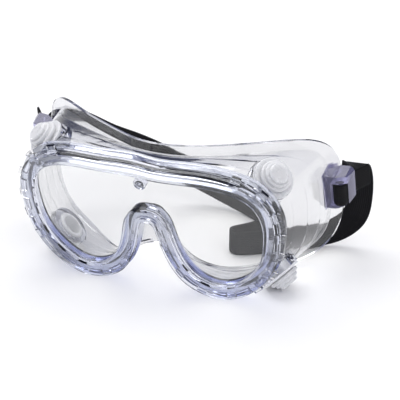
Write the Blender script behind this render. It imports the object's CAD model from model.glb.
"""Looks of the splash goggles: clear vinyl frame, clear lens, milky vents and woven elastic strap."""

import math

import bmesh
import bpy
import numpy as np
from mathutils import Matrix, Vector


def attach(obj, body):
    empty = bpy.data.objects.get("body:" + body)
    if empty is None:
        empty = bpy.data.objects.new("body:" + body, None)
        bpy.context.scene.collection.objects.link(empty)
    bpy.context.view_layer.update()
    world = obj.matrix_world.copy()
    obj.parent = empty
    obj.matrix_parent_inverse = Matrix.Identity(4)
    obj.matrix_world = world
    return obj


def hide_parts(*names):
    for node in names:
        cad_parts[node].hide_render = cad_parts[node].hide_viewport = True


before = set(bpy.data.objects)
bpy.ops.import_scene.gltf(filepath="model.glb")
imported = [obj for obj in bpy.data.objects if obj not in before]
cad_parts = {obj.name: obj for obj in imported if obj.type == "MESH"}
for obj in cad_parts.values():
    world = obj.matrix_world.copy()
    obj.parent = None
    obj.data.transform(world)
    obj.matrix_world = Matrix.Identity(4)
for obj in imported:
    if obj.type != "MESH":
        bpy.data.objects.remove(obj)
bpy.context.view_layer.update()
MM = 0.001

# ---------------------------------------------------------------- sizes and places, in millimetres
# The goggles lean forward on the table by TIP, and SHIFT carries their own axes to the row's.
TIP = math.radians(14.5)
SHIFT = Vector((0, -57.0018, 67.3564))
RIM_CURVE = 480.0                   # radius of the rim's front, seen from above
RIM_DEPTH = (8.5, 11.0)             # where the rim passes into the skirt, behind that front
# Gate boss: middle of its face, and the section of the raised mark on it as (radius, height).
GATE = Vector((0, -0.8, -2.2))
GATE_SECTION = [
    (0, 0.32), (0.28, 0.27), (0.46, 0.12), (0.52, -0.15), (1.5, -0.15), (1.58, 0.08), (1.76, 0.22),
    (1.94, 0.24), (2.12, 0.16), (2.22, -0.15), (0, -0.15)]
GATE_SIDES = 48
# Right strap lug: its front lower inner corner, and from there the bar's axis and the slot's middle height.
LUG_CORNER = Vector((70.4, 55.2, -47.5))
BAR_OUT, BAR_BACK, SLOT_MIDDLE = 8.8, 3.6, 8.7
# Strap: its section and the radius of its middle round the bar.
STRAP_WIDE, STRAP_THICK = 13.0, 1.4
STRAP_BEND = 2.95
STRAP_STEP = 0.4                    # from one ring of the mesh to the next
RIBS, RIB_HIGH = 13, 0.06
EDGE_HALF = 0.12                    # least half thickness, at the selvedges
WRAP_TURN, WRAP_STEP = 210, 21      # degrees that the strap turns round the bar
# Its route in the lug, outward and backward from the corner: the tail, and the way out to the run.
STRAP_TAIL = [(18.0, 20.5), (14.8, 16.4), (12.35, 12.6), (11.8, 9.4), (11.75, 6.4)]
STRAP_LEAD = [(7.9, 7.7), (9.2, 10.7), (9.8, 14), (9.9, 17.5)]
# Its run from the right lug to the left one as it lies on the table: its middle, and the way of its width.
# The table's axes differ from the row's by SHIFT's Y alone.
STRAP_RUN = [
    ((80.2, 80.5, 49.6), (-0.5, -0.2, 0.85)),
    ((79.6, 86, 49.6), (-0.95, 0, 0.3)), ((79.3, 91.5, 48.6), (-1, 0.1, -0.1)),
    ((79.3, 96, 43.5), (-1, 0, -0.05)),
    ((79.5, 98.2, 35), (-1, 0, 0)), ((79, 98.5, 25.5), (-1, 0, 0)), ((76.5, 98.4, 16), (-0.87, 0, 0.5)),
    ((69.5, 95.5, 9.2), (-0.5, 0, 0.87)), ((60, 88.5, 6.7), (0, 0, 1)), ((50, 81, 6.7), (0, 0, 1)),
    ((40, 73.5, 6.7), (0, 0, 1)), ((30, 67.6, 6.7), (0, 0, 1)), ((24.3, 66.4, 6.7), (0, 0, 1)),
    ((21.3, 69.6, 6.7), (0, 0, 1)), ((23.8, 73.6, 6.7), (0, 0, 1)), ((29.5, 80, 6.7), (0, 0, 1)),
    ((33, 88, 6.7), (0, 0, 1)), ((32, 96, 6.7), (0, 0, 1)), ((26, 101.8, 6.7), (0, 0, 1)),
    ((18, 107, 6.7), (0, 0, 1)), ((5, 112.5, 8), (0.05, 0, 1)), ((-10, 114.5, 13), (0.2, 0.1, 1)),
    ((-26, 110, 22), (0.3, 0.4, 0.9)), ((-40, 101, 32), (0.3, 0.75, 0.6)), ((-52, 93, 40), (0.2, 0.9, 0.35)),
    ((-64, 88.5, 46), (0.1, 0.8, 0.6)), ((-75, 83.5, 48.8), (0, 0.3, 0.95))]


# ---------------------------------------------------------------- colours, linear
# Clear plastic: what the light keeps at each surface, as two shades of a faint cloud.
RIM_TINTS = ((0.81, 0.83, 0.88), (0.88, 0.89, 0.925))
LOW_RIM_TINT = (0.36, 0.40, 0.68)
SKIRT_TINTS = ((0.80, 0.80, 0.80), (0.85, 0.85, 0.848))
LUG_TINT = (0.27, 0.26, 0.40)
LENS_TINTS = ((0.875, 0.88, 0.88), (0.895, 0.898, 0.898))
VINYL_DEPTHS = (0.52, 0.56, 0.76)   # light left after a long way in vinyl
SHADOW_TINT = (0.925, 0.925, 0.93)
VENT_BASE_SHADES = ((0.93, 0.935, 0.945), (0.975, 0.98, 0.985))
VENT_CAP_SHADES = ((0.96, 0.965, 0.97), (0.99, 0.99, 0.992))
STRAP_SHADES = ((0.001, 0.001, 0.0012), (0.004, 0.004, 0.005), (0.020, 0.020, 0.023))
FLOOR_SHADE = (0.945, 0.94, 0.925)
CLEAR_IOR = 1.50


# ---------------------------------------------------------------- camera and studio
def make_camera():
    """Long lens from the front right, a little above."""
    data = bpy.data.cameras.new("camera")
    data.lens = 284.38
    data.sensor_width = 36
    data.sensor_fit = "HORIZONTAL"
    data.clip_end = 60
    camera = bpy.data.objects.new("camera", data)
    place = (0.50509, -1.30604, 0.73777)
    right = Vector((0.93370, 0.35799, 0.00660))
    up = Vector((-0.16701, 0.41912, 0.89244))
    back = Vector((0.31672, -0.83437, 0.45112))
    turn = Matrix((right, up, back)).transposed().to_4x4()
    camera.matrix_world = Matrix.Translation(place) @ turn
    bpy.context.scene.collection.objects.link(camera)
    bpy.context.scene.camera = camera


def area_light(name, place, wide, tall, watts):
    """Soft white panel that faces the goggles."""
    data = bpy.data.lights.new(name, "AREA")
    data.shape = "RECTANGLE"
    data.size = wide
    data.size_y = tall
    data.energy = watts
    light = bpy.data.objects.new(name, data)
    light.location = place
    aim = Vector((0, 0, 0.03))
    light.rotation_euler = (aim - Vector(place)).to_track_quat("-Z", "Y").to_euler()
    bpy.context.scene.collection.objects.link(light)


def nodes_of(tree):
    """Function that adds a node with some inputs and properties set."""
    def node(kind, inputs=None, **values):
        item = tree.nodes.new(kind)
        for key, value in values.items():
            setattr(item, key, value)
        for key, value in (inputs or {}).items():
            if isinstance(value, bpy.types.NodeSocket):
                tree.links.new(value, item.inputs[key])
            else:
                item.inputs[key].default_value = value
        return item
    return node


def ramp(node, factor, stops):
    """Colour ramp of (position, colour) stops."""
    item = node("ShaderNodeValToRGB", {"Fac": factor})
    elements = item.color_ramp.elements
    while len(elements) < len(stops):
        elements.new(0.5)
    for element, (place, colour) in zip(elements, stops):
        element.position = place
        element.color = (*colour, 1)
    return item.outputs["Color"]


def make_world():
    """Pale room that is darker half way up, so that clear edges have something dark to bend."""
    world = bpy.data.worlds.new("world")
    world.use_nodes = True
    tree = world.node_tree
    tree.nodes.clear()
    node = nodes_of(tree)
    place = node("ShaderNodeTexCoord")
    split = node("ShaderNodeSeparateXYZ", {"Vector": place.outputs["Generated"]})
    height = node("ShaderNodeMapRange", {"Value": split.outputs["Z"], "From Min": -1.0, "From Max": 1.0})
    colour = ramp(node, height.outputs["Result"], [
        (0.0, (0.95, 0.95, 0.96)), (0.54, (0.95, 0.95, 0.96)), (0.60, (0.20, 0.22, 0.36)),
        (0.74, (0.14, 0.16, 0.30)), (0.86, (0.90, 0.90, 0.93)), (1.0, (1.0, 1.0, 1.0))])
    sky = node("ShaderNodeBackground", {"Color": colour, "Strength": 0.9})
    output = node("ShaderNodeOutputWorld")
    tree.links.new(sky.outputs[0], output.inputs[0])
    bpy.context.scene.world = world


def make_studio():
    """World, three panels of light and a pale floor."""
    make_world()
    area_light("key", (-0.5, 0.5, 1.5), wide=1.7, tall=1.3, watts=16.5)
    area_light("fill", (1.3, -0.5, 1.0), wide=0.8, tall=0.9, watts=4)
    area_light("front", (-0.9, -1.2, 0.7), wide=0.6, tall=0.7, watts=2.5)
    mesh = bpy.data.meshes.new("floor")
    reach = 12.0
    corners = [(-reach, -reach, 0), (reach, -reach, 0), (reach, reach, 0), (-reach, reach, 0)]
    mesh.from_pydata(corners, [], [(0, 1, 2, 3)])
    floor = bpy.data.objects.new("floor", mesh)
    bpy.context.scene.collection.objects.link(floor)
    material = bpy.data.materials.new("floor_paper")
    material.use_nodes = True
    shader = material.node_tree.nodes["Principled BSDF"]
    shader.inputs["Base Color"].default_value = (*FLOOR_SHADE, 1)
    shader.inputs["Roughness"].default_value = 0.9
    shader.inputs["Specular IOR Level"].default_value = 0.1
    mesh.materials.append(material)
    scene = bpy.context.scene
    scene.view_settings.view_transform = "Standard"
    scene.view_settings.look = "None"
    scene.cycles.max_bounces = 32
    scene.cycles.transmission_bounces = 32
    scene.cycles.transparent_max_bounces = 16


# ---------------------------------------------------------------- materials
def new_material(name):
    """Material with only a Principled shader and its output, and the function that adds nodes to it."""
    material = bpy.data.materials.new(name)
    material.use_nodes = True
    tree = material.node_tree
    tree.nodes.clear()
    node = nodes_of(tree)
    shader = node("ShaderNodeBsdfPrincipled")
    output = node("ShaderNodeOutputMaterial", {"Surface": shader.outputs[0]})
    return material, tree, node, shader, output


def noise(node, place, scale, detail=3.0, rough=0.5, distortion=0.0):
    """Cloudy value from 0 to 1."""
    item = node("ShaderNodeTexNoise", {"Vector": place, "Scale": scale, "Detail": detail, "Roughness": rough,
                                       "Distortion": distortion})
    return item.outputs["Fac"]


def between(node, value, low, high, to_low, to_high):
    """A value carried from one range to another, and held at its ends."""
    item = node("ShaderNodeMapRange", {"Value": value, "From Min": low, "From Max": high, "To Min": to_low,
                                       "To Max": to_high})
    return item.outputs["Result"]


def bump(node, height, distance, strength=1.0, after=None):
    """Surface relief, on top of an earlier one if that is given."""
    inputs = {"Height": height, "Distance": distance, "Strength": strength}
    if after is not None:
        inputs["Normal"] = after
    return node("ShaderNodeBump", inputs).outputs["Normal"]


def own_axes(node, place):
    """A point's sockets (x, y, z) in the goggles' own axes, in mm."""
    shifted = node("ShaderNodeVectorMath", {0: place, 1: SHIFT * -MM}, operation="ADD").outputs[0]
    sockets = []
    for axis in ((1, 0, 0), (0, math.cos(TIP), math.sin(TIP)), (0, -math.sin(TIP), math.cos(TIP))):
        direction = Vector(axis) / MM
        sockets.append(node("ShaderNodeVectorMath", {0: shifted, 1: direction}, operation="DOT_PRODUCT"))
    return [socket.outputs["Value"] for socket in sockets]


def product(node, first, second):
    """First times second."""
    return node("ShaderNodeMath", {0: first, 1: second}, operation="MULTIPLY").outputs[0]


def behind_front(node, across, back):
    """How far a point lies behind the rim's curved front, in mm."""
    square = product(node, across, across)
    sag = node("ShaderNodeMath", {0: square, 1: 2 * RIM_CURVE}, operation="DIVIDE").outputs[0]
    return node("ShaderNodeMath", {0: back, 1: sag}, operation="SUBTRACT").outputs[0]


def blended(node, share, first, second):
    """Mix of two colours or colour sockets."""
    return node("ShaderNodeMix", {0: share, 6: first, 7: second}, data_type="RGBA").outputs[2]


def lug_share(node, place):
    """1 in the strap lugs and 0 elsewhere."""
    across, back, high = own_axes(node, place)
    outward = node("ShaderNodeMath", {0: across}, operation="ABSOLUTE").outputs[0]
    share = between(node, outward, 70.0, 71.5, 0, 1)
    edges = ((high, -48.6, -48.0), (high, -26.6, -27.2), (back, 66.8, 66.0), (back, 54.0, 54.6))
    for value, outside, inside in edges:
        share = product(node, share, between(node, value, outside, inside, 0, 1))
    return share


def frame_tint(node, place, cloud):
    """Lavender rim, dark blue along its lower outer edge, grey skirt and purple lugs."""
    across, back, high = own_axes(node, place)
    depth = behind_front(node, across, back)
    skirt = ramp(node, cloud, [(0.3, SKIRT_TINTS[0]), (0.7, SKIRT_TINTS[1])])
    rim = ramp(node, cloud, [(0.3, RIM_TINTS[0]), (0.7, RIM_TINTS[1])])
    low = product(node, between(node, high, -40.0, -50.0, 0, 1), between(node, depth, 4.5, 6.0, 0, 1))
    rim = blended(node, low, rim, (*LOW_RIM_TINT, 1))
    behind = between(node, depth, *RIM_DEPTH, 0, 1)
    return blended(node, lug_share(node, place), blended(node, behind, rim, skirt), (*LUG_TINT, 1))


def clear_material(name, tint_of, rough, flow, specks):
    """Clear moulded plastic: wavy mould flow, fine specks and smudged gloss. The heights are in mm."""
    material, tree, node, shader, output = new_material(name)
    place = node("ShaderNodeTexCoord").outputs["Object"]
    wave = noise(node, place, 55, 2.0, 0.4, 0.6)
    fine = noise(node, place, 900, 3.0, 0.6)
    smudge = noise(node, place, 38, 6.0, 0.62, 0.8)
    cloud = noise(node, place, 24, 3.0, 0.5)
    tree.links.new(tint_of(node, place, cloud), shader.inputs["Base Color"])
    tree.links.new(between(node, smudge, 0.4, 0.75, *rough), shader.inputs["Roughness"])
    first = bump(node, wave, flow * MM, 0.6)
    tree.links.new(bump(node, fine, specks * MM, 0.5, first), shader.inputs["Normal"])
    shader.inputs["Transmission Weight"].default_value = 1.0
    shader.inputs["IOR"].default_value = CLEAR_IOR
    # lamps shine through clear plastic, so that it casts only a pale shadow
    through = node("ShaderNodeBsdfTransparent", {"Color": (*SHADOW_TINT, 1)})
    rays = node("ShaderNodeLightPath")
    mixed = node("ShaderNodeMixShader", {0: rays.outputs["Is Shadow Ray"], 1: shader.outputs[0],
                                         2: through.outputs[0]})
    tree.links.new(mixed.outputs[0], output.inputs["Surface"])
    return material, tree, node, shader, output


def vinyl_material():
    """Soft clear vinyl: its tint deepens with thickness, and the lugs are a little cloudy."""
    material, tree, node, shader, output = clear_material(
        "frame_vinyl", frame_tint, rough=(0.015, 0.09), flow=0.25, specks=0.012)
    place = node("ShaderNodeTexCoord").outputs["Object"]
    clearness = between(node, lug_share(node, place), 0, 1, 1.0, 0.7)
    tree.links.new(clearness, shader.inputs["Transmission Weight"])
    inside = node("ShaderNodeVolumeAbsorption", {"Color": (*VINYL_DEPTHS, 1), "Density": 28})
    tree.links.new(inside.outputs[0], output.inputs["Volume"])
    return material


def lens_tint(node, place, cloud):
    """Almost even grey."""
    return ramp(node, cloud, [(0.3, LENS_TINTS[0]), (0.7, LENS_TINTS[1])])


def lens_material():
    """Hard clear polycarbonate, smoother than the vinyl."""
    return clear_material("lens_polycarbonate", lens_tint, rough=(0.0, 0.03), flow=0.02, specks=0.003)[0]


def milky_material(name, shades):
    """Milky polyethylene: light soaks in, under a soft moulded grain."""
    material, tree, node, shader, _ = new_material(name)
    place = node("ShaderNodeTexCoord").outputs["Object"]
    cloud = noise(node, place, 130, 4.0, 0.55)
    grain = noise(node, place, 1500, 2.0, 0.6)
    tree.links.new(ramp(node, cloud, [(0.3, shades[0]), (0.7, shades[1])]), shader.inputs["Base Color"])
    tree.links.new(between(node, cloud, 0.35, 0.7, 0.24, 0.40), shader.inputs["Roughness"])
    first = bump(node, cloud, 0.015 * MM, 0.3)
    tree.links.new(bump(node, grain, 0.012 * MM, 0.3, first), shader.inputs["Normal"])
    shader.inputs["Transmission Weight"].default_value = 0.12
    shader.inputs["Subsurface Weight"].default_value = 1.0
    shader.inputs["Subsurface Radius"].default_value = (1.0, 1.0, 1.0)
    shader.inputs["Subsurface Scale"].default_value = 0.003
    shader.inputs["IOR"].default_value = 1.5
    return material


def woven_material(name):
    """Black braided elastic: V-shaped stitches in columns along the strap, a little worn and fuzzy."""
    material, tree, node, shader, _ = new_material(name)
    column_wide, stitch_long = 1.0, 0.62
    place = node("ShaderNodeUVMap", uv_map="along").outputs["UV"]
    split = node("ShaderNodeSeparateXYZ", {"Vector": place})
    along, across = split.outputs["X"], split.outputs["Y"]

    def math_node(kind, first, second=None):
        inputs = {0: first}
        if second is not None:
            inputs[1] = second
        return node("ShaderNodeMath", inputs, operation=kind).outputs[0]

    # the threads slant to and fro across each column
    column = math_node("PINGPONG", across, column_wide / 2)
    slant = math_node("ADD", along, math_node("MULTIPLY", column, 0.9))
    thread = math_node("SINE", math_node("MULTIPLY", slant, 2 * math.pi / stitch_long))
    ridge = math_node("SINE", math_node("MULTIPLY", across, 2 * math.pi / column_wide))
    weave = math_node("ADD", math_node("MULTIPLY", thread, 0.6), math_node("MULTIPLY", ridge, 0.4))
    object_place = node("ShaderNodeTexCoord").outputs["Object"]
    fuzz = noise(node, object_place, 2600, 3.0, 0.7)
    wear = noise(node, object_place, 60, 4.0, 0.6)
    height = math_node("ADD", between(node, weave, -1, 1, 0, 1), math_node("MULTIPLY", fuzz, 0.35))
    tone = math_node("ADD", between(node, weave, -1, 1, 0, 0.7), math_node("MULTIPLY", wear, 0.5))
    shade = ramp(node, tone, list(zip((0.15, 0.6, 1.0), STRAP_SHADES)))
    tree.links.new(shade, shader.inputs["Base Color"])
    tree.links.new(between(node, weave, -1, 1, 0.85, 0.55), shader.inputs["Roughness"])
    tree.links.new(bump(node, height, 0.14 * MM, 0.9), shader.inputs["Normal"])
    shader.inputs["Sheen Weight"].default_value = 0.02
    shader.inputs["Sheen Roughness"].default_value = 0.4
    shader.inputs["Specular IOR Level"].default_value = 0.14
    return material


def give(node_name, material):
    """Puts one material on a CAD node."""
    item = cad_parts[node_name]
    for slot in item.material_slots:
        slot.link = "OBJECT"
        slot.material = material


# ---------------------------------------------------------------- strap
def spline(points, places):
    """Natural cubic spline through points at given places: function of place that gives value and slope."""
    points, places = np.array(points, float), np.array(places, float)
    gaps, count = np.diff(places), len(points)
    matrix, right = np.eye(count), np.zeros_like(points)
    for i in range(1, count - 1):
        matrix[i, i - 1:i + 2] = gaps[i - 1], 2 * (gaps[i - 1] + gaps[i]), gaps[i]
        right[i] = 6 * ((points[i + 1] - points[i]) / gaps[i] - (points[i] - points[i - 1]) / gaps[i - 1])
    curve = np.linalg.solve(matrix, right)

    def at(place):
        i = int(np.clip(np.searchsorted(places, place) - 1, 0, count - 2))
        gap, t = gaps[i], place - places[i]
        rise = (points[i + 1] - points[i]) / gap - gap * (2 * curve[i] + curve[i + 1]) / 6
        cube = (curve[i + 1] - curve[i]) / (6 * gap)
        return points[i] + t * (rise + t * (curve[i] / 2 + t * cube)), rise + t * (curve[i] + 3 * t * cube)
    return at


def strap_stations():
    """Middle and width direction of the strap from its right tail round to its left one, in row axes, in mm."""
    tilt = Matrix.Rotation(TIP, 4, "X")
    wide = tilt @ Vector((0, 0, 1))

    def at_lug(side, out, back):
        own = Vector((side * (LUG_CORNER.x + out), LUG_CORNER.y + back, LUG_CORNER.z + SLOT_MIDDLE))
        return tilt @ own + SHIFT, wide

    def wrapped(side):
        loop = [at_lug(side, *place) for place in STRAP_TAIL]
        for angle in range(0, WRAP_TURN + 1, WRAP_STEP):
            turn = math.radians(angle)
            out = BAR_OUT + STRAP_BEND * math.cos(turn)
            loop.append(at_lug(side, out, BAR_BACK - STRAP_BEND * math.sin(turn)))
        return loop + [at_lug(side, *place) for place in STRAP_LEAD]

    run = [(Vector(place) + Vector((0, SHIFT.y, 0)), Vector(across)) for place, across in STRAP_RUN]
    return wrapped(1) + run + wrapped(-1)[::-1]


def strap_section():
    """Closed section of the strap, (across, thick) in mm: ribbed faces and rounded selvedges."""
    half, thick, steps = STRAP_WIDE / 2, STRAP_THICK / 2, 4 * RIBS
    upper = []
    for step in range(steps + 1):
        across = -half + STRAP_WIDE * step / steps
        edge = max(0.0, 1 - abs(across / half) ** 14) ** 0.5
        rib = RIB_HIGH * (1 - math.cos(2 * math.pi * (across + half) * RIBS / STRAP_WIDE)) / 2
        upper.append((across, max(EDGE_HALF, thick * edge - RIB_HIGH + rib)))
    return upper + [(across, -height) for across, height in reversed(upper)]


def make_strap():
    """Woven strap swept along its stations, with a map of its own for the weave."""
    stations = strap_stations()
    travel = [0.0]
    for (first, _), (second, _) in zip(stations, stations[1:]):
        travel.append(travel[-1] + (second - first).length)
    middles = spline([point for point, _ in stations], travel)
    margins = spline([point + across.normalized() * STRAP_WIDE / 2 for point, across in stations], travel)
    section = strap_section()
    mesh = bmesh.new()
    uv = mesh.loops.layers.uv.new("along")
    rings, distances, previous, length = [], [], None, 0.0
    for place in np.arange(0, travel[-1] + 0.01, STRAP_STEP):
        point, along = middles(place)
        across = margins(place)[0] - point
        along = along / np.linalg.norm(along)
        across = across - along * across.dot(along)
        across = across / np.linalg.norm(across)
        square = np.cross(along, across)
        if previous is not None:
            length += float(np.linalg.norm(point - previous))
        previous = point
        distances.append(length)
        rings.append([mesh.verts.new((point + across * a + square * b) * MM) for a, b in section])
    count = len(section)
    for row in range(len(rings) - 1):
        for index in range(count):
            other = (index + 1) % count
            corners = ((row, index), (row, other), (row + 1, other), (row + 1, index))
            face = mesh.faces.new([rings[r][i] for r, i in corners])
            face.smooth = True
            for loop, (r, i) in zip(face.loops, corners):
                loop[uv].uv = (distances[r], section[i][0] + STRAP_WIDE / 2)
    mesh.faces.new(rings[0][::-1])
    mesh.faces.new(rings[-1])
    bmesh.ops.recalc_face_normals(mesh, faces=mesh.faces)
    data = bpy.data.meshes.new("strap_woven")
    mesh.to_mesh(data)
    mesh.free()
    data.materials.append(woven_material("strap_elastic_woven"))
    strap = bpy.data.objects.new("strap_woven", data)
    bpy.context.scene.collection.objects.link(strap)
    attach(strap, "goggles")
    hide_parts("strap")
    print("strap length mm", round(length, 1))


# ---------------------------------------------------------------- gate mark
def make_gate_mark(vinyl):
    """Raised ring and pip that the mould leaves on the round boss of the rim."""
    tilt = Matrix.Rotation(TIP, 4, "X")
    mesh = bmesh.new()
    rings = []
    for radius, proud in GATE_SECTION:
        ring = []
        for side in range(GATE_SIDES if radius else 1):
            turn = 2 * math.pi * side / GATE_SIDES
            own = GATE + Vector((radius * math.cos(turn), -proud, radius * math.sin(turn)))
            ring.append(mesh.verts.new((tilt @ own + SHIFT) * MM))
        rings.append(ring)
    for first, second in zip(rings, rings[1:]):
        for side in range(GATE_SIDES):
            other = (side + 1) % GATE_SIDES
            corners = [first[side % len(first)], first[other % len(first)],
                       second[other % len(second)], second[side % len(second)]]
            face = mesh.faces.new(list(dict.fromkeys(corners)))
            face.smooth = True
    bmesh.ops.recalc_face_normals(mesh, faces=mesh.faces)
    data = bpy.data.meshes.new("gate_mark")
    mesh.to_mesh(data)
    mesh.free()
    data.materials.append(vinyl)
    mark = bpy.data.objects.new("gate_mark", data)
    bpy.context.scene.collection.objects.link(mark)
    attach(mark, "goggles")


# ---------------------------------------------------------------- build
make_camera()
make_studio()
vinyl = vinyl_material()
give("frame_body", vinyl)
make_gate_mark(vinyl)
give("lens", lens_material())
base_material = milky_material("vent_base_milky", VENT_BASE_SHADES)
cap_material = milky_material("vent_cap_milky", VENT_CAP_SHADES)
for level in ("top", "bottom"):
    for side in ("left", "right"):
        give(f"vent_base_{level}_{side}", base_material)
        give(f"vent_cap_{level}_{side}", cap_material)
make_strap()
